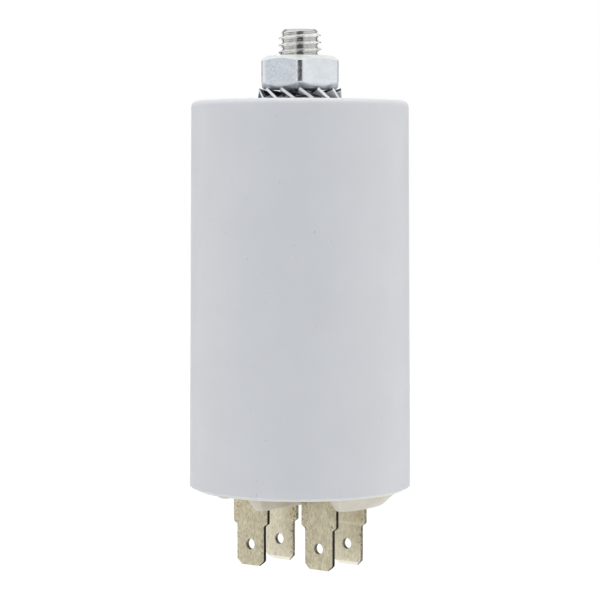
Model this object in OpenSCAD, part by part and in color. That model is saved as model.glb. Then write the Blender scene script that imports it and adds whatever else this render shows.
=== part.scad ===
// Motor-run film capacitor in a round moulded case, with a threaded mounting stud on its
// closed end and two double push-on terminals on the lid of its open end.
// Millimetres. The origin is where the stud leaves the closed end, +Z runs along the stud,
// and the tabs lie parallel to X.

/* [Case] */
// Outside diameter at the open end
case_d = 40.2; // [38:0.1:50]
// Height from the closed end to the underside of the lid
case_h = 70.4; // [55:0.1:110]
// Thickness of the side wall
case_wall = 1.5; // [1.2:0.1:2]
// Thickness of the closed end
case_end = 2.5; // [2:0.1:3.5]
// Draft of the moulded side wall, in degrees
case_draft = 0.35; // [0.1:0.05:0.5]
// Fillet round the closed end
case_fillet = 1.2; // [0.5:0.1:1.4]
// Chamfer on the outer edge of the open rim
case_rim_chamfer = 0.15; // [0.1:0.05:0.5]

/* [Mounting stud] */
// Outside diameter of the M8 thread
stud_d = 7.9; // [7.7:0.05:8]
// Free length above the closed end
stud_l = 12.8; // [12:0.1:20]
// How far the chamfer on the free end reaches in
stud_chamfer = 0.8; // [0.5:0.05:1]
// Length of that chamfer along the stud
stud_chamfer_l = 1.3; // [0.6:0.1:1.8]
// Diameter of the plain neck inside the closed end
stud_neck_d = 7.2; // [6.8:0.1:7.5]
// Width across the flats of the moulded-in head
stud_head_af = 13; // [11:0.5:15]
// Thickness of the moulded-in head
stud_head_t = 4; // [2.5:0.1:6]
// Plastic between the head and the outer face
stud_cover = 2; // [1.5:0.1:3]
// Plastic round and under the head
stud_boss_wall = 1.5; // [1:0.1:2.5]
// Gap left between the stud and the plastic moulded round it
mould_gap = 0.02; // [0.01:0.01:0.05]

/* [Nut] */
// Width across the flats
nut_af = 13.9; // [13:0.1:15]
// Height of the nut
nut_h = 6; // [5:0.1:6.8]
// How far the chamfers reach in from the flats
nut_land_inset = 1; // [0.4:0.1:1.6]
// Angle between the chamfers and the ends of the nut, in degrees
nut_chamfer = 30; // [15:1:35]
// How far the six upright corners are rounded back
nut_corner_round = 0.18; // [0.05:0.01:0.4]
// Angle at which the nut was left, in degrees
nut_turn = 9; // [0:1:60]
// Depth of the countersinks at the mouth of the thread
nut_countersink = 0.4; // [0.2:0.1:0.8]
// Radial gap between the nut and the stud
thread_gap = 0.03; // [0.01:0.01:0.08]

/* [Lock washer] */
// Diameter over the teeth
washer_d = 15; // [14:0.1:16]
// Bore of the washer
washer_bore = 8.4; // [8.2:0.05:8.8]
// Width of the flat ring that carries the teeth
washer_ring_w = 1.4; // [1.1:0.1:2]
// Thickness of the spring steel
washer_t = 0.5; // [0.45:0.05:0.8]
// Number of teeth
tooth_count = 14; // [10:1:16]
// Width of a tooth at its tip
tooth_tip_w = 3.1; // [2.4:0.1:3.3]
// Width of a tooth where it leaves the ring
tooth_root_w = 1.9; // [1.4:0.1:2.1]
// Angle by which each tooth is twisted out of the ring, in degrees
tooth_twist = 36; // [30:1:46]
// Angle at which the washer was left, in degrees
washer_turn = 9; // [0:1:25]
// Gap between the washer's teeth and the faces that they bite
seat_gap = 0.02; // [0.01:0.01:0.05]

/* [Lid] */
// Thickness of the rim that covers the edge of the case
lid_rim_t = 0.5; // [0.3:0.1:1]
// How far the rim stays back from the outside of the case
lid_rim_inset = 1; // [0.2:0.05:1.2]
// Depth of the plug that fills the open end
lid_plug_t = 3.5; // [2.5:0.1:5]
// Radial gap between the plug and the case
lid_gap = 0.08; // [0.04:0.02:0.15]
// Height of the outer insulating barriers
barrier_h = 2.7; // [1.5:0.1:4]
// Height of the middle barrier
barrier_mid_h = 3.1; // [1.5:0.1:4]
// Thickness of a barrier at its tip
barrier_tip_t = 1.7; // [1.2:0.1:2.2]
// How far a barrier's sides spread between tip and foot
barrier_spread = 0.9; // [0.3:0.1:1.2]
// Length of the middle barrier along its tip
barrier_mid_l = 23.4; // [18:0.2:26]
// How far the middle barrier's ends slope out between tip and foot
barrier_mid_slope = 2.2; // [0.5:0.1:3]
// How far the outer barriers' ends slope out between tip and foot
barrier_arc_slope = 1.6; // [0.5:0.1:3]
// How far the feet of the outer barriers stay back from the edge of the lid
barrier_inset = 0.9; // [0.4:0.1:2]
// How far the outer barriers' outer faces lean in between foot and tip
barrier_lean = 2.8; // [0.5:0.1:3.2]
// Angle that each outer barrier covers along its tip, in degrees
barrier_arc = 47; // [30:1:64]

/* [Terminals] */
// Width of a push-on tab
tab_w = 6.3; // [4.8:0.1:6.4]
// Thickness of the strip
tab_t = 0.8; // [0.5:0.1:0.8]
// Length of a tab from its shoulders to its tip
tab_l = 7.65; // [6.5:0.05:8.2]
// Step from the tab out to the wide part of the strip
shoulder_w = 0.85; // [0.4:0.05:1.2]
// Distance from the lid to the shoulders
shoulder_drop = 6.5; // [5:0.1:9]
// Height over which the shoulders slope
shoulder_slope = 0.5; // [0.2:0.1:0.8]
// Distance between the middles of a terminal's two tabs
tab_spacing = 8.3; // [7.6:0.1:9.5]
// Inside radius of the bends
bend_r = 0.5; // [0.3:0.1:0.8]
// Width cut off each corner of a tip
tip_corner_w = 1; // [0.6:0.1:1.4]
// Height of the corner cuts
tip_corner_h = 1; // [0.8:0.1:2]
// Depth of the lead-in bevel on the inner face of a tip
tip_bevel_t = 0.35; // [0.1:0.05:0.4]
// Height of that bevel
tip_bevel_h = 0.6; // [0.4:0.1:1]
// Diameter of the detent hole
tab_hole_d = 2; // [1.4:0.1:2.2]
// Distance from the tip to the middle of the detent hole
tab_hole_up = 3.85; // [3.2:0.05:4.2]
// Gap between the middle barrier's foot and the terminals
terminal_gap = 0.85; // [0.4:0.05:1.5]
// How far the two terminals are staggered along Y from the axis
terminal_stagger = 1.7; // [0:0.1:2.5]

/* [Rivets] */
// Shank diameter
rivet_d = 3; // [2.4:0.1:3.4]
// Diameter of the outer head
rivet_head_d = 5; // [4.2:0.1:5.6]
// Thickness of the outer head
rivet_head_t = 1; // [0.6:0.1:1.4]
// Diameter of the inner, closed head
rivet_tail_d = 4.6; // [4:0.1:5.4]
// Thickness of the inner head
rivet_tail_t = 0.8; // [0.5:0.1:1.2]
// Radial gap round the shank
rivet_gap = 0.05; // [0.02:0.01:0.1]

/* [Winding] */
// Resin between the winding and the side wall
resin_side = 1; // [0.6:0.1:2]
// Outside diameter of the winding core
core_d = 9; // [8.5:0.5:12]
// Bore of the winding core
core_bore = 5; // [4:0.5:6]
// Thickness of the metal sprayed on each end of the winding
spray_t = 0.6; // [0.3:0.1:1]
// Diameter of the insulated leads
lead_d = 1.6; // [1.2:0.1:2]
// Radius of the bends of the long lead
lead_bend_r = 1.4; // [1.2:0.1:1.8]
// Resin left over the bends of the long lead
lead_cover = 0.8; // [0.4:0.1:2]
// Distance from the axis to where the long lead is soldered on the upper end
lead_solder_r = 8; // [7:0.5:12]

/* [Hidden] */
$fn = 60;
// Facets round fillets, rivets and leads
small_fn = 24;
cut_over = 1;

// Case and lid levels
lid_face_z = -case_h;
rim_z = lid_face_z + lid_rim_t;
plug_z = rim_z + lid_plug_t;
case_r_rim = case_d / 2;
case_r_top = case_r_rim + rim_z * tan(case_draft);
cavity_r_top = case_r_top - case_wall / cos(case_draft);
lid_rim_r = case_r_rim - lid_rim_inset;
plug_r = cavity_radius(plug_z) - lid_gap;
function cavity_radius(z) = cavity_r_top - z * tan(case_draft);

// Stud, washer and nut levels
stud_head_z = -stud_cover - stud_head_t;
boss_z = stud_head_z - stud_boss_wall;
boss_r = stud_head_af / 2 / cos(30) + stud_boss_wall;
washer_ring_r = washer_bore / 2 + washer_ring_w;
washer_h = tooth_tip_w * sin(tooth_twist) + washer_t * cos(tooth_twist);
// The nut sits on the teeth where they pass under the edge of its flat end
nut_land_r = nut_af / 2 - nut_land_inset;
tooth_root_r = washer_bore / 2 + washer_ring_w / 2;
tooth_seat = (min(nut_land_r, washer_d / 2) - tooth_root_r) / (washer_d / 2 - tooth_root_r);
tooth_seat_w = tooth_root_w + (tooth_tip_w - tooth_root_w) * tooth_seat;
tooth_seat_h = (tooth_seat_w * sin(tooth_twist) + washer_t * cos(tooth_twist)) / 2;
nut_z = 2 * seat_gap + washer_h / 2 + tooth_seat_h;

// Barriers and terminals
barrier_foot_t = barrier_tip_t + 2 * barrier_spread;
strip_w = tab_w + 2 * shoulder_w;
terminal_x = barrier_foot_t / 2 + terminal_gap + strip_w / 2;
strip_z = lid_face_z - tab_t;
shoulder_z = lid_face_z - shoulder_drop;
tip_z = shoulder_z - tab_l;
outer_foot_r = lid_rim_r - barrier_inset;
outer_tip_r = outer_foot_r - barrier_lean;

// Winding and leads
rivet_tail_z = plug_z + rivet_tail_t;
winding_top = boss_z - lead_cover - lead_d / 2 - lead_bend_r;
winding_low = rivet_tail_z + 2 * lead_bend_r + lead_cover;
winding_r = cavity_radius(winding_top) - resin_side;
lead_turn = atan2(terminal_stagger, terminal_x);
lead_reach = sqrt(terminal_x * terminal_x + terminal_stagger * terminal_stagger);

white_plastic = [0.90, 0.91, 0.93];
cream_plastic = [0.90, 0.88, 0.83];
zinc = [0.74, 0.77, 0.80];
tinned_brass = [0.74, 0.71, 0.63];
brass = [0.78, 0.66, 0.38];

// What is cut off a corner outside an arc about (x, y), up to a side that leans by tilt degrees
module corner_waste(x, y, radius, tilt = 0) {
    reach = radius + cut_over;
    translate([x, y])
        difference() {
            polygon([[0, 0], [reach * cos(tilt), reach * sin(tilt)], [reach, reach], [0, reach]]);
            circle(r = radius, $fn = small_fn);
        }
}

// Half of a drafted cup's section, from the axis out, with a rounded upper corner
module drafted_half(r_top, z_top, z_low, round_r, low_chamfer = 0) {
    slope = tan(case_draft);
    r_low = r_top - z_low * slope;
    round_x = r_top - z_top * slope - round_r * (1 - sin(case_draft)) / cos(case_draft);
    difference() {
        polygon([
            [0, z_top],
            [r_top - z_top * slope, z_top],
            [r_low - low_chamfer * slope, z_low + low_chamfer],
            [r_low - low_chamfer, z_low],
            [0, z_low]
        ]);
        corner_waste(round_x, z_top - round_r, round_r, case_draft);
    }
}

module hex_prism(across_flats, height) {
    cylinder(d = across_flats / cos(30), h = height, $fn = 6);
}

module boss() {
    translate([0, 0, boss_z]) cylinder(r = boss_r, h = -boss_z);
}

// The room inside the case, round the boss that holds the stud's head
module cavity(z_low) {
    difference() {
        rotate_extrude() drafted_half(cavity_r_top, -case_end, z_low, case_fillet);
        boss();
    }
}

module case() {
    color(white_plastic)
    difference() {
        rotate_extrude() drafted_half(case_r_top, 0, rim_z, case_fillet, case_rim_chamfer);
        cavity(rim_z - cut_over);
        translate([0, 0, stud_head_z - mould_gap])
            hex_prism(stud_head_af + 2 * mould_gap, stud_head_t + 2 * mould_gap);
        translate([0, 0, -stud_cover])
            cylinder(d = stud_neck_d + 2 * mould_gap, h = stud_cover + cut_over);
    }
}

module mounting_stud() {
    chamfer_z = stud_l - stud_chamfer_l;
    color(zinc) {
        translate([0, 0, stud_head_z]) hex_prism(stud_head_af, stud_head_t);
        translate([0, 0, -stud_cover - mould_gap])
            cylinder(d = stud_neck_d, h = stud_cover + 2 * mould_gap);
        translate([0, 0, mould_gap]) cylinder(d = stud_d, h = chamfer_z - mould_gap);
        translate([0, 0, chamfer_z])
            cylinder(d1 = stud_d, d2 = stud_d - 2 * stud_chamfer, h = stud_chamfer_l);
    }
}

// One tooth along +X, widening outwards and twisted about its own middle line
module washer_tooth() {
    rotate([-tooth_twist, 0, 0])
        translate([0, 0, -washer_t / 2])
            linear_extrude(washer_t)
                polygon([
                    [tooth_root_r, -tooth_root_w / 2],
                    [washer_d / 2, -tooth_tip_w / 2],
                    [washer_d / 2, tooth_tip_w / 2],
                    [tooth_root_r, tooth_root_w / 2]
                ]);
}

module lock_washer() {
    color(zinc)
    translate([0, 0, seat_gap + washer_h / 2])
    rotate([0, 0, washer_turn])
    difference() {
        union() {
            cylinder(r = washer_ring_r, h = washer_t, center = true);
            for (i = [0 : tooth_count - 1])
                rotate([0, 0, i * 360 / tooth_count]) washer_tooth();
        }
        cylinder(d = washer_bore, h = washer_h + cut_over, center = true);
    }
}

// Section of the cones that chamfer the nut at both ends
module nut_envelope() {
    corner_r = nut_af / 2 / cos(30) - nut_corner_round;
    drop = (corner_r - nut_land_r) * tan(nut_chamfer);
    polygon([
        [0, 0], [nut_land_r, 0], [corner_r, drop],
        [corner_r, nut_h - drop], [nut_land_r, nut_h], [0, nut_h]
    ]);
}

module hex_nut() {
    bore_r = stud_d / 2 + thread_gap;
    mouth_r = bore_r + nut_countersink;
    color(zinc)
    translate([0, 0, nut_z])
    difference() {
        intersection() {
            rotate([0, 0, nut_turn]) hex_prism(nut_af, nut_h);
            rotate_extrude() nut_envelope();
        }
        translate([0, 0, -cut_over]) cylinder(r = bore_r, h = nut_h + 2 * cut_over);
        cylinder(r1 = mouth_r, r2 = bore_r, h = nut_countersink);
        translate([0, 0, nut_h - nut_countersink])
            cylinder(r1 = bore_r, r2 = mouth_r, h = nut_countersink);
    }
}

// A straight wall along Y that narrows to its tip and slopes at both ends
module middle_barrier() {
    foot_l = barrier_mid_l + 2 * barrier_mid_slope;
    intersection() {
        rotate([90, 0, 0])
            linear_extrude(foot_l, center = true)
                polygon([
                    [-barrier_foot_t / 2, 0], [barrier_foot_t / 2, 0],
                    [barrier_tip_t / 2, -barrier_mid_h], [-barrier_tip_t / 2, -barrier_mid_h]
                ]);
        rotate([90, 0, 90])
            linear_extrude(barrier_foot_t, center = true)
                polygon([
                    [-foot_l / 2, 0], [foot_l / 2, 0],
                    [barrier_mid_l / 2, -barrier_mid_h], [-barrier_mid_l / 2, -barrier_mid_h]
                ]);
    }
}

// A curved wall outside the +X terminal, with a leaning outer face and sloping ends
module outer_barrier() {
    slope_angle = atan(barrier_arc_slope / barrier_h);
    end_margin = 2;
    foot_arc = barrier_arc + 2 * barrier_arc_slope / outer_tip_r * 180 / PI + end_margin;
    difference() {
        rotate([0, 0, -foot_arc / 2])
            rotate_extrude(angle = foot_arc)
                polygon([
                    [outer_tip_r - barrier_tip_t, 0],
                    [outer_foot_r, 0],
                    [outer_tip_r, -barrier_h],
                    [outer_tip_r - barrier_tip_t, -barrier_h]
                ]);
        for (side = [-1, 1])
            rotate([0, 0, side * barrier_arc / 2])
                translate([0, 0, -barrier_h])
                    rotate([side * slope_angle, 0, 0])
                        translate([0, side * case_d / 2, 0])
                            cube([2 * case_d, case_d, 4 * barrier_h], center = true);
    }
}

module terminal_lid() {
    shank_r = rivet_d / 2 + rivet_gap;
    color(cream_plastic)
    difference() {
        union() {
            translate([0, 0, lid_face_z]) cylinder(r = lid_rim_r, h = lid_rim_t);
            translate([0, 0, lid_face_z]) cylinder(r = plug_r, h = plug_z - lid_face_z);
            translate([0, 0, lid_face_z]) middle_barrier();
            for (turn = [0, 180])
                rotate([0, 0, turn]) translate([0, 0, lid_face_z]) outer_barrier();
        }
        for (turn = [0, 180])
            rotate([0, 0, turn])
                translate([terminal_x, terminal_stagger, lid_face_z - cut_over])
                    cylinder(r = shank_r, h = plug_z - lid_face_z + 2 * cut_over, $fn = small_fn);
    }
}

// Right half of an upside-down U from the middle out, with a rounded upper corner
module channel_half(half_w, z_top, z_low, round_r) {
    difference() {
        translate([0, z_low]) square([half_w, z_top - z_low]);
        corner_waste(half_w - round_r, z_top - round_r, round_r);
    }
}

// Half of the strip's edge view: from the middle of its base, round the bend and down a leg
module strip_half() {
    outer_y = tab_spacing / 2 + tab_t / 2;
    inner_y = outer_y - tab_t;
    bevel_z = tip_z + tip_bevel_h;
    difference() {
        channel_half(outer_y, lid_face_z, tip_z, bend_r + tab_t);
        channel_half(inner_y, strip_z, tip_z - cut_over, bend_r);
        polygon([[inner_y, bevel_z], [inner_y, tip_z], [inner_y + tip_bevel_t, tip_z]]);
    }
}

// The flat outline of the strip, seen along Y
module strip_face() {
    polygon([
        [-strip_w / 2, lid_face_z], [strip_w / 2, lid_face_z],
        [strip_w / 2, shoulder_z + shoulder_slope / 2], [tab_w / 2, shoulder_z - shoulder_slope / 2],
        [tab_w / 2, tip_z + tip_corner_h], [tab_w / 2 - tip_corner_w, tip_z],
        [-tab_w / 2 + tip_corner_w, tip_z], [-tab_w / 2, tip_z + tip_corner_h],
        [-tab_w / 2, shoulder_z - shoulder_slope / 2], [-strip_w / 2, shoulder_z + shoulder_slope / 2]
    ]);
}

// A strip bent into a U, both legs ending in a push-on tab, at the +X place
module double_tab() {
    reach_y = tab_spacing + tab_t + 2 * cut_over;
    translate([terminal_x, terminal_stagger, 0])
    difference() {
        intersection() {
            rotate([90, 0, 90])
                linear_extrude(strip_w, center = true)
                    union() {
                        strip_half();
                        mirror([1, 0]) strip_half();
                    }
            rotate([90, 0, 0]) linear_extrude(reach_y, center = true) strip_face();
        }
        translate([0, 0, tip_z + tab_hole_up])
            rotate([90, 0, 0]) cylinder(d = tab_hole_d, h = reach_y, center = true, $fn = small_fn);
        translate([0, 0, strip_z - cut_over])
            cylinder(d = rivet_d + 2 * rivet_gap, h = tab_t + 2 * cut_over, $fn = small_fn);
    }
}

module terminal_a() {
    color(tinned_brass) rotate([0, 0, 180]) double_tab();
}

module terminal_b() {
    color(tinned_brass) double_tab();
}

// A rivet through the strip and the lid, closed on the inside
module rivet() {
    head_z = strip_z - rivet_head_t;
    translate([terminal_x, terminal_stagger, 0]) {
        translate([0, 0, head_z]) cylinder(d = rivet_head_d, h = rivet_head_t, $fn = small_fn);
        translate([0, 0, head_z]) cylinder(d = rivet_d, h = rivet_tail_z - head_z, $fn = small_fn);
        translate([0, 0, plug_z]) cylinder(d = rivet_tail_d, h = rivet_tail_t, $fn = small_fn);
    }
}

module rivet_a() {
    color(brass) rotate([0, 0, 180]) rivet();
}

module rivet_b() {
    color(brass) rivet();
}

// A ring between two radii and two levels
module sleeve(inner_r, outer_r, z_low, z_top) {
    translate([0, 0, z_low])
        difference() {
            cylinder(r = outer_r, h = z_top - z_low);
            translate([0, 0, -cut_over]) cylinder(r = inner_r, h = z_top - z_low + 2 * cut_over);
        }
}

module film_winding() {
    color([0.80, 0.80, 0.76])
        sleeve(core_d / 2, winding_r, winding_low + spray_t, winding_top - spray_t);
}

module winding_core() {
    color([0.20, 0.20, 0.22]) sleeve(core_bore / 2, core_d / 2, winding_low, winding_top);
}

module upper_end_spray() {
    color([0.62, 0.63, 0.64]) sleeve(core_d / 2, winding_r, winding_top - spray_t, winding_top);
}

module lower_end_spray() {
    color([0.62, 0.63, 0.64]) sleeve(core_d / 2, winding_r, winding_low, winding_low + spray_t);
}

// The lead from the lower end of the winding straight down to the -X rivet
module short_lead() {
    color([0.75, 0.10, 0.10])
        rotate([0, 0, 180])
            translate([terminal_x, terminal_stagger, rivet_tail_z])
                cylinder(d = lead_d, h = winding_low - rivet_tail_z, $fn = small_fn);
}

// A quarter bend of the lead about the origin, from upright on the +X side to level on top
module lead_elbow() {
    rotate([90, 0, 0])
        rotate_extrude(angle = 90, $fn = small_fn)
            translate([lead_bend_r, 0]) circle(d = lead_d, $fn = small_fn);
}

// The lead from the upper end of the winding, through the core, to the +X rivet
module long_lead() {
    top_z = winding_top + lead_bend_r;
    run_z = rivet_tail_z + lead_bend_r;
    color([0.10, 0.10, 0.12])
    rotate([0, 0, lead_turn]) {
        translate([lead_bend_r - lead_solder_r, 0, winding_top]) rotate([0, 0, 180]) lead_elbow();
        translate([lead_bend_r - lead_solder_r, 0, top_z])
            rotate([0, 90, 0]) cylinder(d = lead_d, h = lead_solder_r - 2 * lead_bend_r, $fn = small_fn);
        translate([-lead_bend_r, 0, winding_top]) lead_elbow();
        translate([0, 0, run_z + lead_bend_r])
            cylinder(d = lead_d, h = winding_top - run_z - lead_bend_r, $fn = small_fn);
        translate([lead_bend_r, 0, run_z + lead_bend_r]) rotate([0, 180, 0]) lead_elbow();
        translate([lead_bend_r, 0, run_z])
            rotate([0, 90, 0]) cylinder(d = lead_d, h = lead_reach - 2 * lead_bend_r, $fn = small_fn);
        translate([lead_reach - lead_bend_r, 0, rivet_tail_z]) lead_elbow();
    }
}

module potting_resin() {
    color([0.45, 0.38, 0.28])
    difference() {
        cavity(plug_z);
        sleeve(core_bore / 2, winding_r, winding_low, winding_top);
        short_lead();
        long_lead();
        rivet_a();
        rivet_b();
    }
}

case();
mounting_stud();
lock_washer();
hex_nut();
terminal_lid();
terminal_a();
terminal_b();
rivet_a();
rivet_b();
film_winding();
winding_core();
upper_end_spray();
lower_end_spray();
short_lead();
long_lead();
potting_resin();
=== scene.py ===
"""A stud-mounted motor-run capacitor: white case, zinc-plated fixings, cream lid and double brass tabs."""
import math

import bmesh
import bpy
import numpy as np
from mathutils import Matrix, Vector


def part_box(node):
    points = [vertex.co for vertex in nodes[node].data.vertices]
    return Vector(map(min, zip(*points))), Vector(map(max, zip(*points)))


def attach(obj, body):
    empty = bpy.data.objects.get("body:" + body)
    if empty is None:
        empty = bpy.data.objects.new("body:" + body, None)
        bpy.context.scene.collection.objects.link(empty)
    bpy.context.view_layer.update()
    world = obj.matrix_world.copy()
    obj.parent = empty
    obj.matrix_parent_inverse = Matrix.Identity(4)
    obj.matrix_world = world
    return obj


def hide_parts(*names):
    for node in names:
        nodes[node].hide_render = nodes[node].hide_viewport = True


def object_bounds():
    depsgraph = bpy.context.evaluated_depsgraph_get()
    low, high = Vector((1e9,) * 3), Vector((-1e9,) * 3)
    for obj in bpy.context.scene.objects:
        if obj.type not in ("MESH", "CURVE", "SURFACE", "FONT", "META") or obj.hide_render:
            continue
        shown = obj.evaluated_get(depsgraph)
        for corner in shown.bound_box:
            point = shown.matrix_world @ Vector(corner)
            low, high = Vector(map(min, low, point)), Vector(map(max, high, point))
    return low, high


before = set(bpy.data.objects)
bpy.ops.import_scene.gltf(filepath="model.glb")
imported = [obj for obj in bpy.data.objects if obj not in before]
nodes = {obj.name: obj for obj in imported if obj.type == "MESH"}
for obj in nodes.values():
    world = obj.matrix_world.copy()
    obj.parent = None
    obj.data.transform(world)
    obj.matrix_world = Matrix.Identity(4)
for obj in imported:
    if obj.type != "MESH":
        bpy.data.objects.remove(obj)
cad_low, cad_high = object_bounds()

# Case
# A drafted cup of satin white plastic, moulded in one shot with its closed end on top. A boss under
# the closed end holds the head of the stud, and the outer edge of the closed end has a small fillet.
mm = 0.001
case_low, case_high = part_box("case")
case_wall = 1.5 * mm
case_end = 2.5 * mm
case_fillet = 1.2 * mm
rim_chamfer = 0.15 * mm
draft = math.tan(math.radians(0.35))
neck_hole_r = 3.62 * mm
boss_r = 9.0 * mm
boss_z = -7.5 * mm
head_r = 7.53 * mm
head_top_z = -2.0 * mm
head_low_z = -6.02 * mm
case_segments = 240
outer_fillet_steps = 14
inner_fillet_steps = 8
weld_distance = 0.0005 * mm
crisp_angle = 35
case_shades = ((0.652, 0.659, 0.678), (0.669, 0.676, 0.695))
speck_colour = (0.45, 0.45, 0.47)


def arc(x, z, radius, first, last, steps):
    """Points on a circle about (x, z), at even angles from first to last, in degrees from +x to +z."""
    angle = np.radians(np.linspace(first, last, steps))
    return np.column_stack([x + radius * np.cos(angle), z + radius * np.sin(angle)])


def grid_faces(rows, columns, wrap_rows, wrap_columns):
    """Quads between neighbouring rows and columns of a grid, numbered row by row."""
    index = np.arange(rows * columns).reshape(rows, columns)
    if wrap_rows:
        index = np.vstack([index, index[:1]])
    if wrap_columns:
        index = np.hstack([index, index[:, :1]])
    corners = [index[:-1, :-1], index[1:, :-1], index[1:, 1:], index[:-1, 1:]]
    return np.stack(corners, axis=-1).reshape(-1, 4)


def surface_piece(name, grids, sharp_angle=crisp_angle):
    """One mesh object from several grids of points, each with its two wraps: poles and seams are merged,
    normals turned outwards, and edges sharper than the angle kept crisp."""
    points = np.concatenate([grid.reshape(-1, 3) for grid, _, _ in grids])
    starts = np.cumsum([0] + [grid.shape[0] * grid.shape[1] for grid, _, _ in grids])
    faces = np.concatenate([start + grid_faces(*grid.shape[:2], wrap_rows, wrap_columns)
                            for start, (grid, wrap_rows, wrap_columns) in zip(starts, grids)])
    mesh = bpy.data.meshes.new(name)
    mesh.from_pydata(points.tolist(), [], faces.tolist())
    work = bmesh.new()
    work.from_mesh(mesh)
    bmesh.ops.remove_doubles(work, verts=work.verts, dist=weld_distance)
    bmesh.ops.recalc_face_normals(work, faces=work.faces)
    work.to_mesh(mesh)
    work.free()
    mesh.shade_smooth()
    mesh.set_sharp_from_angle(angle=math.radians(sharp_angle))
    piece = bpy.data.objects.new(name, mesh)
    bpy.context.scene.collection.objects.link(piece)
    return piece


def turned(profile, segments):
    """A profile of (radius, height) points carried round the Z axis, one column per point."""
    angle = np.linspace(0, 2 * np.pi, segments, endpoint=False)[:, None]
    radius, height = profile[:, 0][None], profile[:, 1][None]
    return np.stack([radius * np.cos(angle), radius * np.sin(angle), height + 0 * angle], axis=-1)


def add_node(tree, kind, inputs=None, **settings):
    """A new shader node; an input that is a socket is linked, and any other input is set."""
    made = tree.nodes.new("ShaderNode" + kind)
    for key, value in settings.items():
        setattr(made, key, value)
    for key, value in (inputs or {}).items():
        if isinstance(value, bpy.types.NodeSocket):
            tree.links.new(value, made.inputs[key])
        else:
            made.inputs[key].default_value = value
    return made


def new_material(name):
    """A material with its nodes, its Principled shader and the piece's own Object coordinates."""
    material = bpy.data.materials.new(name)
    material.use_nodes = True
    tree = material.node_tree
    principled = tree.nodes["Principled BSDF"]
    coords = add_node(tree, "TexCoord").outputs["Object"]
    return material, tree, principled, coords


def noise(tree, coords, size, detail=3.0, roughness=0.55):
    """Cloudy noise whose patches are about as wide as the size, in metres."""
    made = add_node(tree, "TexNoise", {"Vector": coords, "Scale": 1 / size, "Detail": detail,
                                       "Roughness": roughness})
    return made.outputs["Fac"]


def blend_colour(tree, factor, first, second):
    """Two colours mixed by a factor; either may be a socket or three numbers."""
    first, second = [colour if isinstance(colour, bpy.types.NodeSocket) else (*colour, 1)
                     for colour in (first, second)]
    made = add_node(tree, "Mix", {"Factor": factor, "A": first, "B": second}, data_type="RGBA")
    return made.outputs["Result"]


def ramp(tree, value, low, high, first, last):
    """A number or colour that runs from first to last as the value runs from low to high."""
    span = {"Value": value, "From Min": low, "From Max": high}
    if isinstance(first, tuple):
        fraction = add_node(tree, "MapRange", span).outputs["Result"]
        return blend_colour(tree, fraction, first, last)
    return add_node(tree, "MapRange", {**span, "To Min": first, "To Max": last}).outputs["Result"]


def bump(tree, height, strength, distance, under=None):
    """A bump of that depth in metres, laid over another bump where one is given."""
    inputs = {"Height": height, "Strength": strength, "Distance": distance}
    if under is not None:
        inputs["Normal"] = under
    return add_node(tree, "Bump", inputs).outputs["Normal"]


def feed(tree, principled, colour, gloss, normal):
    """Leads a colour, a roughness and a bumped normal into the shader."""
    tree.links.new(colour, principled.inputs["Base Color"])
    tree.links.new(gloss, principled.inputs["Roughness"])
    tree.links.new(normal, principled.inputs["Normal"])


def put_on(piece, *materials):
    """Makes these the only materials of the piece, in this order."""
    piece.data.materials.clear()
    for material in materials:
        piece.data.materials.append(material)


def white_plastic():
    """Cool white, with faint cloudy patches, sparse tiny specks and a very slight moulded ripple."""
    material, tree, principled, coords = new_material("white_case_plastic")
    clouds = ramp(tree, noise(tree, coords, 9 * mm), 0.35, 0.65, *case_shades)
    specks = ramp(tree, noise(tree, coords, 0.7 * mm, 1.0), 0.74, 0.8, 0.0, 0.45)
    gloss = ramp(tree, noise(tree, coords, 3 * mm), 0.3, 0.7, 0.42, 0.52)
    ripple = bump(tree, noise(tree, coords, 6 * mm, 2.0), 0.12, 0.1 * mm)
    grain = bump(tree, noise(tree, coords, 0.35 * mm, 2.0), 0.1, 0.02 * mm, ripple)
    feed(tree, principled, blend_colour(tree, specks, clouds, speck_colour), gloss, grain)
    principled.inputs["Subsurface Weight"].default_value = 0.15
    principled.inputs["Subsurface Radius"].default_value = (1.0, 0.9, 0.8)
    principled.inputs["Subsurface Scale"].default_value = 0.8 * mm
    principled.inputs["Specular IOR Level"].default_value = 0.4
    return material


rim_r = case_high.x
rim_z = case_low.z
top_r = rim_r + rim_z * draft
inner_top_r = top_r - case_wall + case_end * draft
inner_rim_r = rim_r - case_wall
case_profile = np.concatenate([
    [[neck_hole_r, 0], [boss_r, 0], [top_r - 2 * case_fillet, 0]],
    arc(top_r - case_fillet, -case_fillet, case_fillet, 90, 0, outer_fillet_steps),
    [[rim_r - rim_chamfer * draft, rim_z + rim_chamfer], [rim_r - rim_chamfer, rim_z]],
    [[inner_rim_r, rim_z]],
    arc(inner_top_r - case_fillet, -case_end - case_fillet, case_fillet, 0, 90, inner_fillet_steps),
    [[boss_r, -case_end], [boss_r, boss_z], [0, boss_z]],
    [[0, head_low_z], [head_r, head_low_z], [head_r, head_top_z], [neck_hole_r, head_top_z]],
])
case = surface_piece("moulded_case", [(turned(case_profile, case_segments), True, True)])
put_on(case, white_plastic())
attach(case, "root")
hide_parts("case")

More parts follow.
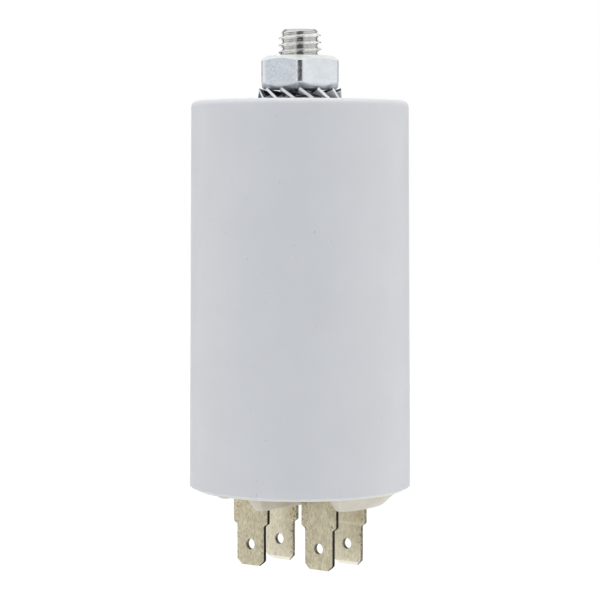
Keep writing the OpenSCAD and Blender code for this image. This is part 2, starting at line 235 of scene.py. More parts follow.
# Mounting stud
# A zinc-plated steel screw, moulded into the closed end by its hexagon head, with a rolled right-hand
# M8 thread that stands out of the case and a chamfered end.
stud_low, stud_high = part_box("mounting_stud")
thread_r = 3.95 * mm
thread_pitch = 1.25 * mm
thread_soft = 0.06 * mm
thread_start_z = 0.02 * mm
crest_z = 0.40 * mm
end_r = 3.0 * mm
end_chamfer = 1.1 * mm
end_soft = 0.03 * mm
stud_neck_r = 3.6 * mm
stud_head_flats = 13.0 * mm
stud_head_round = 0.3 * mm
stud_segments = 120
stud_rows = 210
stud_crisp_angle = 50
stud_shades = ((0.76, 0.765, 0.745), (0.93, 0.93, 0.91))
# Painted shade for the roots of the thread, darkest nearest the axis.
root_shade_colour = (0.30, 0.305, 0.29)
shade_from_r = 3.5 * mm
shade_full_r = 3.22 * mm


def soft_limit(value, bound, softness):
    """The lower of two values, rounded over where they come within the softness of each other."""
    return (value + bound - np.sqrt((value - bound) ** 2 + softness ** 2)) / 2


def hexagon(angle, flats, round_r):
    """Distance from the middle of a hexagon to its side, at each angle, with a corner at angle 0: straight
    sides, joined at the corners by arcs that touch them both."""
    from_corner = np.abs((angle + np.pi / 6) % (np.pi / 3) - np.pi / 6)
    arc_x = (flats / 2 - round_r) / math.cos(math.pi / 6)
    touch = math.atan2(round_r / 2, arc_x + round_r * math.cos(math.pi / 6))
    side = flats / 2 / np.cos(np.pi / 6 - from_corner)
    reach = np.maximum(round_r ** 2 - (arc_x * np.sin(from_corner)) ** 2, 0)
    return np.where(from_corner < touch, arc_x * np.cos(from_corner) + np.sqrt(reach), side)


def thread_radius(angle, height):
    """A sixty-degree vee that climbs one pitch a turn, with a flattened crest and a rounded root, cut
    back by the cone on the end of the stud."""
    sharp_depth = thread_pitch * math.cos(math.radians(30))
    crest_height = 7 / 8 * sharp_depth
    root_height = sharp_depth / 6
    turn = (height - crest_z) / thread_pitch - angle / (2 * np.pi)
    from_crest = np.abs(turn - np.round(turn))
    vee = sharp_depth * (1 - 2 * from_crest)
    flattened = soft_limit(vee, crest_height, thread_soft)
    rooted = -soft_limit(-flattened, -root_height, thread_soft)
    radius = thread_r - crest_height + rooted
    cone = end_r + (stud_high.z - height) * (thread_r - end_r) / end_chamfer
    return soft_limit(radius, cone, end_soft)


def threaded_stud():
    """Rows from the underside of the head to the end: a hexagon for the head, a plain neck, then rows up
    the thread whose radius follows the helix, closed at both ends on the axis."""
    angle = np.linspace(0, 2 * np.pi, stud_segments, endpoint=False)
    ring = np.ones_like(angle)
    head = hexagon(angle, stud_head_flats, stud_head_round)
    rise = np.linspace(thread_start_z, stud_high.z, stud_rows)
    radius = np.vstack([0 * ring, head, head, stud_neck_r * ring, stud_neck_r * ring,
                        thread_radius(angle[None], rise[:, None]), 0 * ring])
    height = np.concatenate([[stud_low.z, stud_low.z, head_top_z, head_top_z, thread_start_z],
                             rise, [stud_high.z]])
    return np.stack([radius * np.cos(angle), radius * np.sin(angle), height[:, None] * ring], axis=-1)


def zinc(name, shades, roughness, patch_size):
    """Bluish zinc plating: cloudy patches of two greys, uneven gloss and a fine grain."""
    material, tree, principled, coords = new_material(name)
    plated = ramp(tree, noise(tree, coords, patch_size, 4.0), 0.35, 0.65, *shades)
    gloss = ramp(tree, noise(tree, coords, 0.5 * mm), 0.3, 0.7, roughness - 0.06, roughness + 0.08)
    grain = bump(tree, noise(tree, coords, 0.25 * mm), 0.05, 0.02 * mm)
    feed(tree, principled, plated, gloss, grain)
    principled.inputs["Metallic"].default_value = 1.0
    return material


def reopen(material):
    """What is needed to add to a finished material: nodes, inputs of the shader and Object coordinates."""
    tree = material.node_tree
    inputs = tree.nodes["Principled BSDF"].inputs
    coords = tree.nodes["Texture Coordinate"].outputs["Object"]
    return tree, inputs, coords


def bright_zinc():
    """Shiny plating with painted shade in the roots of the thread, darker towards the axis by the distance
    from it.
    """
    material = zinc("bright_zinc", stud_shades, 0.17, 0.6 * mm)
    tree, inputs, coords = reopen(material)
    level = add_node(tree, "VectorMath", {0: coords, 1: (1, 1, 0)}, operation="MULTIPLY").outputs["Vector"]
    radius = add_node(tree, "VectorMath", {0: level}, operation="LENGTH").outputs["Value"]
    # Painted shade, growing towards the roots of the thread.
    root_shade = ramp(tree, radius, shade_from_r, shade_full_r, 0.0, 0.5)
    plated = inputs["Base Color"].links[0].from_socket
    tree.links.new(blend_colour(tree, root_shade, plated, root_shade_colour), inputs["Base Color"])
    return material


stud = surface_piece("threaded_stud", [(threaded_stud(), False, True)], stud_crisp_angle)
put_on(stud, bright_zinc())
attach(stud, "root")
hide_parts("mounting_stud")

# Lock washer
# A serrated spring-steel washer, stamped with fourteen teeth round its edge, each twisted out of the
# flat ring so that its two corners bite into the case and the nut. Zinc plated; its ring and the upper
# faces of its teeth, in the shade of the nut, are painted dark as painted shade.
washer_low, washer_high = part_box("lock_washer")
washer_bore_r = 4.2 * mm
washer_ring_r = 5.6 * mm
washer_r = 7.5 * mm
washer_t = 0.5 * mm
washer_z = (washer_low.z + washer_high.z) / 2
washer_turn = math.radians(9)
washer_segments = 120
tooth_count = 14
tooth_root_r = 4.9 * mm
tooth_root_w = 1.9 * mm
tooth_tip_w = 3.1 * mm
tooth_twist = math.radians(36)
root_twist_share = 0.5
tooth_edge = 0.06 * mm
tooth_rows = 14
corner_steps = 4
spring_shades = ((0.87, 0.89, 0.91), (0.95, 0.96, 0.97))
# Painted shade: the dark zinc for the ring and the upper faces of the teeth, which lie under the nut.
under_nut_shade_shades = ((0.05, 0.058, 0.065), (0.15, 0.17, 0.18))
shaded_face_slope = 0.2


def rounded_section(edge):
    """A rectangle with rounded corners, one point a column: which half the point is in, across and through,
    and how far it lies from the centre of that corner's arc."""
    corner = np.repeat(np.array([[1, 1], [-1, 1], [-1, -1], [1, -1]]), corner_steps, axis=0)
    quarter = np.linspace(0, 90, corner_steps)[None]
    sweep = np.radians(quarter + np.array([[0], [90], [180], [270]])).reshape(-1)
    return corner[:, 0], corner[:, 1], edge * np.cos(sweep), edge * np.sin(sweep)


def washer_ring():
    """The flat ring: a rounded section carried round the axis."""
    side, face, corner_w, corner_t = rounded_section(tooth_edge)
    middle_r = (washer_bore_r + washer_ring_r) / 2
    half_w = (washer_ring_r - washer_bore_r) / 2
    radius = middle_r + side * (half_w - tooth_edge) + corner_w
    height = washer_z + face * (washer_t / 2 - tooth_edge) + corner_t
    return turned(np.column_stack([radius, height]), washer_segments)


def twisted_teeth():
    """Each tooth is a rounded section that widens from root to tip and turns about its own middle line,
    most of all near the tip, carried outwards along a radius; one copy for each tooth, with a closed root
    and tip."""
    side, face, corner_w, corner_t = rounded_section(tooth_edge)
    way = np.concatenate([[0], np.linspace(0, 1, tooth_rows), [1]])[:, None]
    open_end = np.ones_like(way)
    open_end[[0, -1]] = 0
    width = (tooth_root_w + (tooth_tip_w - tooth_root_w) * way) / 2
    across = open_end * (side * (width - tooth_edge) + corner_w)
    through = open_end * (face * (washer_t / 2 - tooth_edge) + corner_t)
    near_tip = np.clip(1.3 * way - 0.3, 0, 1) ** 1.5
    twist = tooth_twist * (root_twist_share + (1 - root_twist_share) * near_tip)
    along = tooth_root_r + (washer_r - tooth_root_r) * way + 0 * across
    tangent = across * np.cos(twist) + through * np.sin(twist)
    rise = washer_z - across * np.sin(twist) + through * np.cos(twist)
    turn = washer_turn + 2 * np.pi * np.arange(tooth_count)[:, None, None] / tooth_count
    x = along * np.cos(turn) - tangent * np.sin(turn)
    y = along * np.sin(turn) + tangent * np.cos(turn)
    return np.stack([x, y, rise + 0 * x], axis=-1)


def face_vectors(piece, what):
    """The normals or centres of a piece's faces, one row each."""
    values = np.zeros(len(piece.data.polygons) * 3)
    piece.data.polygons.foreach_get(what, values)
    return values.reshape(-1, 3)


def pick_finishes(piece, numbers):
    """Gives each face the material of its number, counted from 0 in the order they were put on."""
    piece.data.polygons.foreach_set("material_index", numbers.astype(np.int32))


washer = surface_piece("serrated_washer", [(washer_ring(), True, True)]
                       + [(tooth, False, True) for tooth in twisted_teeth()])
# The second finish is painted shade, dark zinc for the places under the nut.
put_on(washer, zinc("spring_zinc", spring_shades, 0.6, 0.8 * mm),
       zinc("zinc_painted_shade", under_nut_shade_shades, 0.3, 0.8 * mm))
washer_centres = face_vectors(washer, "center")
on_ring = np.hypot(washer_centres[:, 0], washer_centres[:, 1]) < washer_ring_r
# The ring and the upward faces of the teeth take the dark zinc, as painted shade from the nut above.
pick_finishes(washer, on_ring | (face_vectors(washer, "normal")[:, 2] > shaded_face_slope))
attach(washer, "root")
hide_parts("lock_washer")

# Hexagon nut
# A zinc-plated M8 nut, cold formed, with its six upright corners worn round and both ends chamfered. The
# upper end is turned, and its faces that look up are painted paler as a painted highlight. The nut sits on
# the teeth of the lock washer.
nut_low, nut_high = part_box("hex_nut")
nut_flats = 13.9 * mm
nut_upper_land = 5.95 * mm
nut_upper_slope = math.tan(math.radians(30))
nut_upper_soft = 0.05 * mm
nut_lower_land = 6.6 * mm
nut_lower_slope = math.tan(math.radians(45))
nut_lower_soft = 0.14 * mm
nut_round = 2.0 * mm
nut_turn = math.radians(9)
nut_bore_r = 3.98 * mm
nut_mouth = 0.4 * mm
nut_segments = 360
nut_end_h = 1.6 * mm
nut_end_rows = 32
nut_crisp_angle = 28
satin_shades = ((0.685, 0.72, 0.76), (0.755, 0.79, 0.825))
# Painted highlight: a paler zinc for the faces of the nut that look up.
upward_highlight_shades = ((0.70, 0.715, 0.72), (0.88, 0.89, 0.88))
highlight_slope = 0.3
matt_from_z = nut_low.z + 1.2 * mm
matt_full_z = nut_low.z + 0.5 * mm


def chamfered_nut():
    """Rows up the outside, close together near both ends, whose radius is the least of the round-cornered
    hexagon and the cones of the two chamfers, all blended a little; then down the bore with its two
    countersinks."""
    angle = np.linspace(0, 2 * np.pi, nut_segments, endpoint=False)
    nut_h = nut_high.z - nut_low.z
    rise = np.concatenate([np.linspace(0, nut_end_h, nut_end_rows),
                           nut_h - np.linspace(nut_end_h, 0, nut_end_rows)])
    plan = hexagon(angle - nut_turn, nut_flats, nut_round)
    lower_cone = nut_lower_land + rise[:, None] / nut_lower_slope
    upper_cone = nut_upper_land + (nut_h - rise[:, None]) / nut_upper_slope
    outside = soft_limit(soft_limit(plan[None], lower_cone, nut_lower_soft), upper_cone, nut_upper_soft)
    bore = np.array([[nut_bore_r + nut_mouth, nut_h], [nut_bore_r, nut_h - nut_mouth],
                     [nut_bore_r, nut_mouth], [nut_bore_r + nut_mouth, 0]])
    radius = np.vstack([outside, bore[:, :1] + 0 * angle])
    height = nut_low.z + np.concatenate([rise, bore[:, 1]])[:, None]
    return np.stack([radius * np.cos(angle), radius * np.sin(angle), height + 0 * radius], axis=-1)


def coordinate(tree, coords, axis):
    """One of the three coordinates, in metres."""
    return add_node(tree, "SeparateXYZ", {"Vector": coords}).outputs[axis]


def work_out(tree, operation, *values):
    """The result of one sum on one or two values, which may be sockets or numbers."""
    return add_node(tree, "Math", dict(enumerate(values)), operation=operation).outputs["Value"]


def satin_zinc():
    """Satin plating that is matt on the lower chamfer, by the height."""
    material = zinc("satin_zinc", satin_shades, 0.24, 1.5 * mm)
    tree, inputs, coords = reopen(material)
    matt = ramp(tree, coordinate(tree, coords, "Z"), matt_from_z, matt_full_z, 0.0, 0.4)
    gloss = inputs["Roughness"].links[0].from_socket
    tree.links.new(work_out(tree, "ADD", gloss, matt), inputs["Roughness"])
    return material


nut = surface_piece("chamfered_nut", [(chamfered_nut(), True, True)], nut_crisp_angle)
put_on(nut, satin_zinc(), zinc("zinc_painted_highlight", upward_highlight_shades, 0.28, 0.7 * mm))
# Faces that look up take the paler zinc, as a painted highlight.
pick_finishes(nut, face_vectors(nut, "normal")[:, 2] > highlight_slope)
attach(nut, "root")
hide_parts("hex_nut")

# Terminal lid
# A cream plastic plug with a thin rim over the edge of the case. A straight wall stands between the
# terminals and a curved wall outside each of them, moulded with the lid, with drafted sides and ends.
lid_low, lid_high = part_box("terminal_lid")
lid_rim_t = 0.5 * mm
lid_rim_r = lid_high.x
lid_rim_edge = 0.12 * mm
lid_face_z = case_low.z - lid_rim_t
plug_r = inner_rim_r - 0.1 * mm
wall_tip_t = 1.7 * mm
wall_spread = 0.9 * mm
wall_edge = 0.3 * mm
wall_foot_sink = 0.1 * mm
wall_sink = 0.2 * mm
middle_h = lid_face_z - lid_low.z
middle_l = 23.4 * mm
middle_slope = 2.2 * mm
outer_h = 2.7 * mm
outer_foot_r = lid_rim_r - 0.9 * mm
outer_tip_r = outer_foot_r - 2.8 * mm
outer_inner_spread = 0.1 * mm
outer_arc = math.radians(47)
outer_slope = 1.6 * mm
lid_segments = 180
wall_rows = 160
middle_columns = 30
outer_columns = 40
lid_shades = ((0.555, 0.514, 0.432), (0.617, 0.58, 0.503))
# Painted light that makes the rim of the lid paler.
rim_light_colour = (0.84, 0.84, 0.80)


def wall(x, y, height, inner, outer, ends):
    """A wall on the lid over a patch of points: its depth is the least of the full height, the two sides
    and the sloping ends, with soft edges between them. Its foot and its underside are sunk in the lid."""
    sides = soft_limit(inner, outer, wall_edge)
    sloped = soft_limit(sides, ends, wall_edge)
    depth = np.maximum(soft_limit(sloped, height, wall_edge), -wall_foot_sink)
    upper = np.stack([x, y, lid_face_z - depth], axis=-1)
    under = np.stack([x, y, lid_face_z + wall_sink + 0 * depth], axis=-1)
    return np.concatenate([upper, under[:, ::-1]], axis=1)


def straight_wall():
    """The middle wall, along Y: the sides lean in over the spread, the ends over their slope."""
    foot = wall_tip_t / 2 + wall_spread
    far = middle_l / 2 + middle_slope
    y, x = np.meshgrid(np.linspace(-far, far, wall_rows), np.linspace(-foot, foot, middle_columns),
                       indexing="ij")
    return wall(x, y, middle_h, middle_h * (foot + x) / wall_spread, middle_h * (foot - x) / wall_spread,
                middle_h * (far - np.abs(y)) / middle_slope)


def curved_wall(turn):
    """An outer wall, on an arc about the axis with its middle at the given angle: upright inside, leaning
    in outside, its ends cut by planes that slope away from the two ends of the arc."""
    inner_r = outer_tip_r - wall_tip_t
    far = outer_arc / 2 + math.asin(outer_slope / inner_r)
    angle, radius = np.meshgrid(np.linspace(-far, far, wall_rows),
                                np.linspace(inner_r, outer_foot_r, outer_columns), indexing="ij")
    past_end = radius * np.sin(np.abs(angle) - outer_arc / 2)
    return wall(radius * np.cos(turn + angle), radius * np.sin(turn + angle), outer_h,
                outer_h * (radius - inner_r) / outer_inner_spread,
                outer_h * (outer_foot_r - radius) / (outer_foot_r - outer_tip_r),
                outer_h * (outer_slope - past_end) / outer_slope)


def cream_plastic():
    """Slightly translucent cream, with faint clouds and a soft moulded gloss, painted paler from just above
    the lid's face upwards as painted light on the thin rim.
    """
    material, tree, principled, coords = new_material("cream_lid_plastic")
    clouds = ramp(tree, noise(tree, coords, 4 * mm), 0.35, 0.65, *lid_shades)
    # Painted light: paler from just above the lid's face upwards.
    rim_light = ramp(tree, coordinate(tree, coords, "Z"), lid_face_z, lid_face_z + 0.1 * mm, 0.0, 0.8)
    gloss = ramp(tree, noise(tree, coords, 1.5 * mm), 0.3, 0.7, 0.36, 0.48)
    grain = bump(tree, noise(tree, coords, 0.5 * mm, 2.0), 0.12, 0.03 * mm)
    feed(tree, principled, blend_colour(tree, rim_light, clouds, rim_light_colour), gloss, grain)
    principled.inputs["Subsurface Weight"].default_value = 0.35
    principled.inputs["Subsurface Radius"].default_value = (1.0, 0.85, 0.6)
    principled.inputs["Subsurface Scale"].default_value = 1.5 * mm
    return material


lid_profile = np.array([
    [0, lid_face_z], [lid_rim_r - lid_rim_edge, lid_face_z], [lid_rim_r, lid_face_z + lid_rim_edge],
    [lid_rim_r, case_low.z], [plug_r, case_low.z], [plug_r, lid_high.z], [0, lid_high.z],
])
lid = surface_piece("barrier_lid", [(turned(lid_profile, lid_segments), True, False),
                                    (straight_wall(), False, True),
                                    (curved_wall(0), False, True), (curved_wall(math.pi), False, True)])
put_on(lid, cream_plastic())
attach(lid, "root")
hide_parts("terminal_lid")

# Terminals
# Two strips of plated brass, each stamped, bent into a U and riveted to the lid by its base. Both legs
# end in a push-on tab with a pierced detent hole, cut corners and a tip coined to a bevel inside, which
# is painted pale as a painted highlight. Inside the U the plating is painted paler, as painted light.
# Sheared edges are dark, and those of the front legs near black, which is painted shade.
terminal_low, terminal_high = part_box("terminal_b")
terminal_x = (terminal_low.x + terminal_high.x) / 2
tab_t = 0.8 * mm
tab_w = 6.3 * mm
tab_soft = 0.1 * mm
shoulder_drop = 6.5 * mm
shoulder_slope = 0.5 * mm
bend_r = 0.5 * mm
bend_steps = 9
leg_top_z = lid_face_z - tab_t - bend_r
tip_corner_w = 1.0 * mm
tip_corner_h = 1.0 * mm
tip_bevel_t = 0.35 * mm
tip_bevel_h = 0.6 * mm
detent_r = 1.0 * mm
detent_up = 3.85 * mm
detent_segments = 40
strip_edge = 0.09 * mm
side_slope = 0.3
outer_shades = ((0.60, 0.548, 0.392), (0.71, 0.657, 0.495))
# Painted light: the inside of the U is made paler than the outside.
inner_painted_light_shades = ((0.76, 0.705, 0.555), (0.84, 0.79, 0.64))
# Painted highlight for the bevel inside each tip.
bevel_highlight_shades = ((0.90, 0.87, 0.78), (0.96, 0.93, 0.85))
# Painted shade: the front legs' sheared edges are near black, darker than the rear ones.
front_edge_shade_shades = ((0.006, 0.005, 0.004), (0.045, 0.04, 0.028))
rear_edge_shades = ((0.12, 0.105, 0.075), (0.52, 0.47, 0.35))
streak_colour = (0.30, 0.26, 0.15)
spot_colour = (0.20, 0.16, 0.09)
mark_colour = (0.05, 0.04, 0.025)
marks_from = 2.3 * mm
marks_full = 3.1 * mm


def leg_outline(half_strip, tip_z):
    """Rows up one leg, each with its height, half width, and half thickness outside and inside: the tip
    closes on a point, its corners are cut and its inner face bevelled, and a slope leads to the shoulder."""
    half_t = tab_t / 2
    half_tab = tab_w / 2
    half_tip = half_tab - tip_corner_w
    bevel_w = half_tip + tip_corner_w * tip_bevel_h / tip_corner_h
    bevel_t = half_t - tip_bevel_t
    corner_z = tip_z + tip_corner_h
    slope_low = lid_face_z - shoulder_drop - shoulder_slope / 2
    slope_high = slope_low + shoulder_slope
    return np.array([
        [tip_z, 0, 0, 0],
        [tip_z, half_tip - tab_soft / 2, half_t - tab_soft / 2, bevel_t - tab_soft / 4],
        [tip_z + tab_soft / 2, half_tip, half_t, bevel_t],
        [tip_z + tip_bevel_h, bevel_w, half_t, half_t],
        [corner_z - tab_soft, half_tab - tab_soft, half_t, half_t],
        [corner_z + tab_soft, half_tab, half_t, half_t],
        [slope_low - 2 * tab_soft, half_tab, half_t, half_t],
        [slope_low, half_tab + tab_soft, half_t, half_t],
        [slope_high - tab_soft, half_strip - tab_soft, half_t, half_t],
        [slope_high + tab_soft, half_strip, half_t, half_t],
        [leg_top_z, half_strip, half_t, half_t],
    ])


def there_and_back(values):
    """Values up one leg and round its bend, then the same in reverse for the other, as one column."""
    return np.concatenate([values, values[::-1]])[:, None]


def strip_grid(middle_x, middle_y, spacing, strip_w, tip_z):
    """A rounded section carried up one leg, round the bends and down the other, as wide and as thick as
    the outline of the leg says at each height; both tips close on a point."""
    leg = leg_outline(strip_w / 2, tip_z)
    bend = np.radians(np.linspace(0, 90, bend_steps)[1:])
    rows = np.vstack([leg, np.repeat(leg[-1:], len(bend), axis=0)])
    turn = np.concatenate([np.zeros(len(leg)), bend])
    bend_middle_r = bend_r + tab_t / 2
    half_y = spacing / 2 - bend_middle_r * (1 - np.cos(turn))
    path_y = np.concatenate([half_y, -half_y[::-1]])[:, None]
    path_z = there_and_back(rows[:, 0] + bend_middle_r * np.sin(turn))
    lean = np.concatenate([turn, np.pi - turn[::-1]])[:, None]
    half_w, outer_t, inner_t = [there_and_back(column) for column in rows[:, 1:].T]
    side, face, corner_w, corner_t = rounded_section(strip_edge)
    half_t = np.where(face > 0, outer_t, inner_t)
    room = np.clip(np.minimum(half_w, outer_t) / strip_edge, 0, 1)
    across = side * np.maximum(half_w - strip_edge, 0) + corner_w * room
    through = room * (face * (half_t - strip_edge) + corner_t)
    x = middle_x + across
    y = middle_y + path_y + through * np.cos(lean)
    z = path_z + through * np.sin(lean)
    return np.stack([x, y, z], axis=-1)


def finish_numbers(terminal, middle_y):
    """The number of each face's finish in the list below, from the way it faces and where it lies."""
    normals = face_vectors(terminal, "normal")
    centres = face_vectors(terminal, "center")
    on_leg = centres[:, 2] < leg_top_z
    front = centres[:, 1] < middle_y
    torn = on_leg & (np.abs(normals[:, 1]) < side_slope)
    inside = np.where(on_leg, (normals[:, 1] > 0) == front, normals[:, 2] < 0)
    bevel = on_leg & inside & (normals[:, 2] < -side_slope)
    return np.select([torn & front, torn, bevel, inside], [2, 3, 4, 1], 0)


def detent_cutter(x, y, z, finish):
    """A round bar along Y, longer than the tab is thick, closed at both ends on its axis."""
    angle = np.linspace(0, 2 * np.pi, detent_segments, endpoint=False)[:, None]
    radius = detent_r * np.array([0, 1, 1, 0])[None]
    along = y + tab_t * np.array([-1, -1, 1, 1])[None]
    grid = np.stack([x + radius * np.cos(angle), along + 0 * angle, z + radius * np.sin(angle)], axis=-1)
    cutter = surface_piece("detent_cutter", [(grid, True, False)])
    put_on(cutter, finish)
    return cutter


def pierce(piece, cutter):
    """Cuts the cutter out of the piece for good, and takes the cutter away."""
    cut = piece.modifiers.new("pierce", "BOOLEAN")
    cut.object = cutter
    cut.solver = "EXACT"
    cut.material_mode = "TRANSFER"
    graph = bpy.context.evaluated_depsgraph_get()
    mesh = bpy.data.meshes.new_from_object(piece.evaluated_get(graph))
    piece.modifiers.clear()
    piece.data = mesh
    bpy.data.objects.remove(cutter)
    mesh.shade_smooth()
    mesh.set_sharp_from_angle(angle=math.radians(crisp_angle))


def plated_brass(name, shades, streak_depth):
    """Dull warm plating: fine rolled grain along the strip, cloudy tarnish, a few brown spots, and dark
    marks that gather along the long edges."""
    material, tree, principled, coords = new_material(name)
    stretch = add_node(tree, "Mapping", {"Vector": coords, "Scale": (1, 1, 0.4)}).outputs["Vector"]
    tarnish = ramp(tree, noise(tree, coords, 1.6 * mm, 4.0), 0.35, 0.68, *shades)
    grain = noise(tree, stretch, 0.3 * mm, 4.0, 0.7)
    streaks = ramp(tree, grain, 0.42, 0.66, 0.0, streak_depth)
    streaked = blend_colour(tree, streaks, tarnish, streak_colour)
    spots = ramp(tree, noise(tree, coords, 0.9 * mm, 2.0), 0.68, 0.76, 0.0, 0.6)
    spotted = blend_colour(tree, spots, streaked, spot_colour)
    outward = work_out(tree, "ABSOLUTE", coordinate(tree, coords, "X"))
    from_middle = work_out(tree, "ABSOLUTE", work_out(tree, "SUBTRACT", outward, terminal_x))
    near_edge = ramp(tree, from_middle, marks_from, marks_full, 0.0, 0.85)
    marks = ramp(tree, noise(tree, coords, 0.45 * mm), 0.58, 0.66, 0.0, 1.0)
    marked = blend_colour(tree, work_out(tree, "MULTIPLY", marks, near_edge), spotted, mark_colour)
    gloss = ramp(tree, grain, 0.3, 0.7, 0.36, 0.50)
    feed(tree, principled, marked, gloss, bump(tree, grain, 0.25, 0.02 * mm))
    principled.inputs["Metallic"].default_value = 0.85
    return material


def sheared_brass(name, shades):
    """The torn edge that the shear leaves: dark, rough and streaked."""
    material, tree, principled, coords = new_material(name)
    tears = noise(tree, coords, 0.35 * mm, 4.0)
    colour = ramp(tree, tears, 0.4, 0.7, *shades)
    gloss = ramp(tree, tears, 0.3, 0.7, 0.7, 0.5)
    feed(tree, principled, colour, gloss, bump(tree, tears, 0.4, 0.06 * mm))
    principled.inputs["Specular IOR Level"].default_value = 0.1
    return material


rear_edge = sheared_brass("sheared_rear", rear_edge_shades)
terminal_finishes = [
    plated_brass("plated_outer", outer_shades, 0.62),
    # Paler plating for the inside faces, as painted light.
    plated_brass("plated_inner_painted_light", inner_painted_light_shades, 0.35),
    # Sheared edges of the front legs, darkened to near black as painted shade.
    sheared_brass("sheared_front_painted_shade", front_edge_shade_shades),
    rear_edge,
    # The bevel inside each tip, painted pale as a painted highlight.
    plated_brass("coined_tip_highlight", bevel_highlight_shades, 0.1),
]
for name in ("terminal_a", "terminal_b"):
    low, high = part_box(name)
    middle = (low + high) / 2
    spacing = high.y - low.y - tab_t
    grid = strip_grid(middle.x, middle.y, spacing, high.x - low.x, low.z)
    terminal = surface_piece("double_tab_" + name[-1], [(grid, False, True)])
    put_on(terminal, *terminal_finishes)
    pick_finishes(terminal, finish_numbers(terminal, middle.y))
    for side in (-1, 1):
        leg_y = middle.y + side * spacing / 2
        pierce(terminal, detent_cutter(middle.x, leg_y, low.z + detent_up, rear_edge))
    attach(terminal, "root")
    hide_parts(name)

# Rivets
# Two brass rivets, headed on the base of each terminal and closed inside the lid. They hold the terminals
# and carry the current through the lid.


def plain_finish(name, dark, light, patch_size, roughness, metallic=0.0):
    """Two shades of one colour in cloudy patches, with a slight grain."""
    material, tree, principled, coords = new_material(name)
    patches = noise(tree, coords, patch_size, 4.0)
    colour = ramp(tree, patches, 0.35, 0.65, dark, light)
    gloss = ramp(tree, patches, 0.3, 0.7, roughness, roughness + 0.12)
    feed(tree, principled, colour, gloss, bump(tree, patches, 0.15, 0.03 * mm))
    principled.inputs["Metallic"].default_value = metallic
    return material


rivet_brass = plain_finish("rivet_brass", (0.55, 0.44, 0.22), (0.70, 0.58, 0.33), 1.0 * mm, 0.3, 1.0)
for name in ("rivet_a", "rivet_b"):
    put_on(nodes[name], rivet_brass)

# Winding, leads and resin
# The roll of metallised film on its plastic core, the metal sprayed on both its ends, the two insulated
# leads that run to the rivets, and the resin cast round them all. None of it shows from outside.
metal_film = plain_finish("metallised_film", (0.58, 0.59, 0.61), (0.72, 0.73, 0.75), 2 * mm, 0.3, 0.4)
core_plastic = plain_finish("core_plastic", (0.03, 0.03, 0.035), (0.06, 0.06, 0.065), 2 * mm, 0.5)
sprayed_zinc = plain_finish("sprayed_zinc", (0.38, 0.39, 0.40), (0.55, 0.56, 0.57), 0.4 * mm, 0.6, 0.8)
red_sleeve = plain_finish("red_insulation", (0.42, 0.03, 0.02), (0.52, 0.05, 0.04), 1 * mm, 0.4)
black_sleeve = plain_finish("black_insulation", (0.02, 0.02, 0.02), (0.04, 0.04, 0.045), 1 * mm, 0.4)
cast_resin = plain_finish("cast_resin", (0.20, 0.15, 0.09), (0.30, 0.23, 0.14), 3 * mm, 0.2)
put_on(nodes["film_winding"], metal_film)
put_on(nodes["winding_core"], core_plastic)
put_on(nodes["upper_end_spray"], sprayed_zinc)
put_on(nodes["lower_end_spray"], sprayed_zinc)
put_on(nodes["short_lead"], red_sleeve)
put_on(nodes["long_lead"], black_sleeve)
put_on(nodes["potting_resin"], cast_resin)

# Floor
# A plain white sheet some way under the tabs, since the part hangs by its stud. It looks white to the
# camera and in metal, keeps a soft shadow, and is clear from below.
floor_half = 3.0
floor_z = cad_low.z - 120 * mm
floor_grey = (0.82, 0.82, 0.82, 1)
shadow_grey = (0.2, 0.2, 0.2, 1)
floor_glow = 0.80


def flat_sheet(name, corners):
    """One four-cornered sheet."""
    mesh = bpy.data.meshes.new(name)
    mesh.from_pydata(corners, [], [(0, 1, 2, 3)])
    sheet = bpy.data.objects.new(name, mesh)
    bpy.context.scene.collection.objects.link(sheet)
    return sheet


def shows_background(tree):
    """One for the rays that show the background: from the camera, in gloss and through clear things."""
    path = add_node(tree, "LightPath").outputs
    direct = work_out(tree, "MAXIMUM", path["Is Camera Ray"], path["Is Glossy Ray"])
    return work_out(tree, "MAXIMUM", direct, path["Is Transmission Ray"])


def white_paper():
    """Plain grey-white to light; to the rays that show the background a glow and a little shade, which add
    up to white; and clear from behind."""
    material = bpy.data.materials.new("white_paper")
    material.use_nodes = True
    tree = material.node_tree
    tree.nodes.remove(tree.nodes["Principled BSDF"])
    plain = add_node(tree, "BsdfDiffuse", {"Color": floor_grey}).outputs["BSDF"]
    shade = add_node(tree, "BsdfDiffuse", {"Color": shadow_grey}).outputs["BSDF"]
    glow = add_node(tree, "Emission", {"Strength": floor_glow}).outputs["Emission"]
    shown = add_node(tree, "AddShader", {0: shade, 1: glow}).outputs["Shader"]
    front = add_node(tree, "MixShader", {0: shows_background(tree), 1: plain, 2: shown}).outputs["Shader"]
    clear = add_node(tree, "BsdfTransparent").outputs["BSDF"]
    behind = add_node(tree, "NewGeometry").outputs["Backfacing"]
    both = add_node(tree, "MixShader", {0: behind, 1: front, 2: clear}).outputs["Shader"]
    tree.links.new(both, tree.nodes["Material Output"].inputs["Surface"])
    return material


floor = flat_sheet("floor", [(-floor_half, -floor_half, floor_z), (floor_half, -floor_half, floor_z),
                             (floor_half, floor_half, floor_z), (-floor_half, floor_half, floor_z)])
put_on(floor, white_paper())

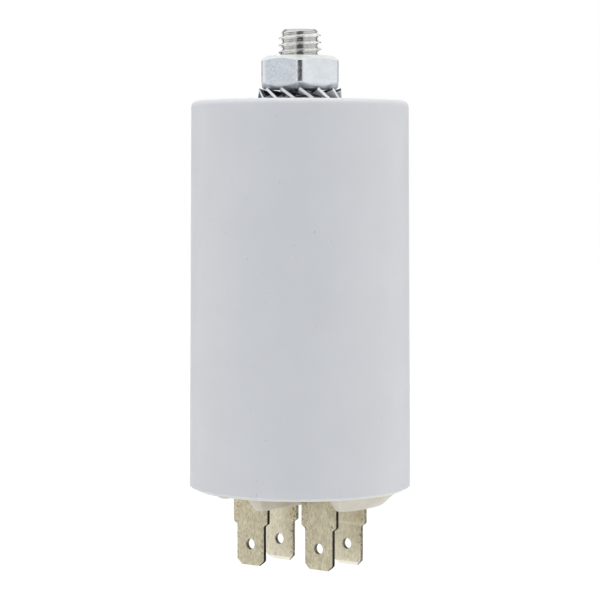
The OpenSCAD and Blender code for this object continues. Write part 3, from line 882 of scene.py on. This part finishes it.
# Studio light
# A white tent all round the object, bright overhead and dim and bluish on the side that the picture
# is taken from. Four cards stand in it and show only in metal: a dark one round the camera, a grey one on
# the left, and a grey flag behind on either side that outlines the metal.
view_turn = math.radians(39)
toward_view = np.array([math.sin(view_turn), -math.cos(view_turn), 0])
to_right = np.array([math.cos(view_turn), math.sin(view_turn), 0])
card_distance = 0.6
tent_colour = (0.83, 0.83, 0.83)
overhead_colour = (3.0, 3.0, 3.0)
view_side_colour = (0.04, 0.115, 0.195)
view_side_aim = toward_view - 0.12 * to_right
flag_shades = ((0.30, 0.30, 0.30), (0.36, 0.36, 0.36))


def patch(tree, way, aim, inner, outer):
    """One within the inner angle of the aim, falling smoothly to nothing at the outer angle."""
    near = add_node(tree, "VectorMath", {0: way, 1: tuple(aim)}, operation="DOT_PRODUCT").outputs["Value"]
    span = {"Value": near, "From Min": math.cos(math.radians(outer)),
            "From Max": math.cos(math.radians(inner))}
    return add_node(tree, "MapRange", span, interpolation_type="SMOOTHSTEP").outputs["Result"]


def card(name, turn, half_width, low, high, dark, light):
    """An upright card at an angle to the left of the camera, seen in gloss but not lighting anything."""
    angle = math.radians(turn)
    middle = card_distance * (math.cos(angle) * toward_view - math.sin(angle) * to_right)
    along = half_width * (math.sin(angle) * toward_view + math.cos(angle) * to_right)
    corners = [tuple(middle + side * along + np.array([0, 0, level]))
               for side, level in ((-1, low), (1, low), (1, high), (-1, high))]
    sheet = flat_sheet(name, corners)
    put_on(sheet, plain_finish(name, dark, light, 0.1, 0.8))
    sheet.visible_camera = False
    sheet.visible_diffuse = False
    sheet.visible_shadow = False


card("camera_card", 0, 0.26, -0.5, 0.8, (0.05, 0.048, 0.046), (0.075, 0.072, 0.07))
card("grey_card", 62, 0.22, -0.4, 0.35, (0.74, 0.75, 0.77), (0.78, 0.79, 0.81))
card("left_flag", 142, 0.13, -0.5, 0.5, *flag_shades)
card("right_flag", -142, 0.13, -0.5, 0.5, *flag_shades)
world = bpy.data.worlds.new("tent")
bpy.context.scene.world = world
world.use_nodes = True
tree = world.node_tree
way = add_node(tree, "TexCoord").outputs["Generated"]
upper_tent = blend_colour(tree, patch(tree, way, (0, 0, 1), 5, 45), tent_colour, overhead_colour)
whole_tent = blend_colour(tree, patch(tree, way, view_side_aim, 16, 57), upper_tent, view_side_colour)
tent = add_node(tree, "Background", {"Color": whole_tent}).outputs["Background"]
white = tree.nodes["Background"]
white.inputs["Color"].default_value = (1, 1, 1, 1)
backdrop = white.outputs["Background"]
sky = add_node(tree, "MixShader", {0: shows_background(tree), 1: tent, 2: backdrop}).outputs["Shader"]
tree.links.new(sky, tree.nodes["World Output"].inputs["Surface"])

# Camera
# At the height of the upper part of the case, tilted a little down, from the side that shows the tabs.
camera_distance = 0.430
camera_z = -0.01237
camera_tilt = math.radians(3.161)
camera_data = bpy.data.cameras.new("camera")
camera_data.lens = 142.1
camera_data.sensor_width = 36
camera = bpy.data.objects.new("camera", camera_data)
camera.location = (camera_distance * toward_view[0], camera_distance * toward_view[1], camera_z)
camera.rotation_euler = (math.pi / 2 - camera_tilt, 0, view_turn)
bpy.context.scene.collection.objects.link(camera)
bpy.context.scene.camera = camera
bpy.context.scene.view_settings.view_transform = "Standard"
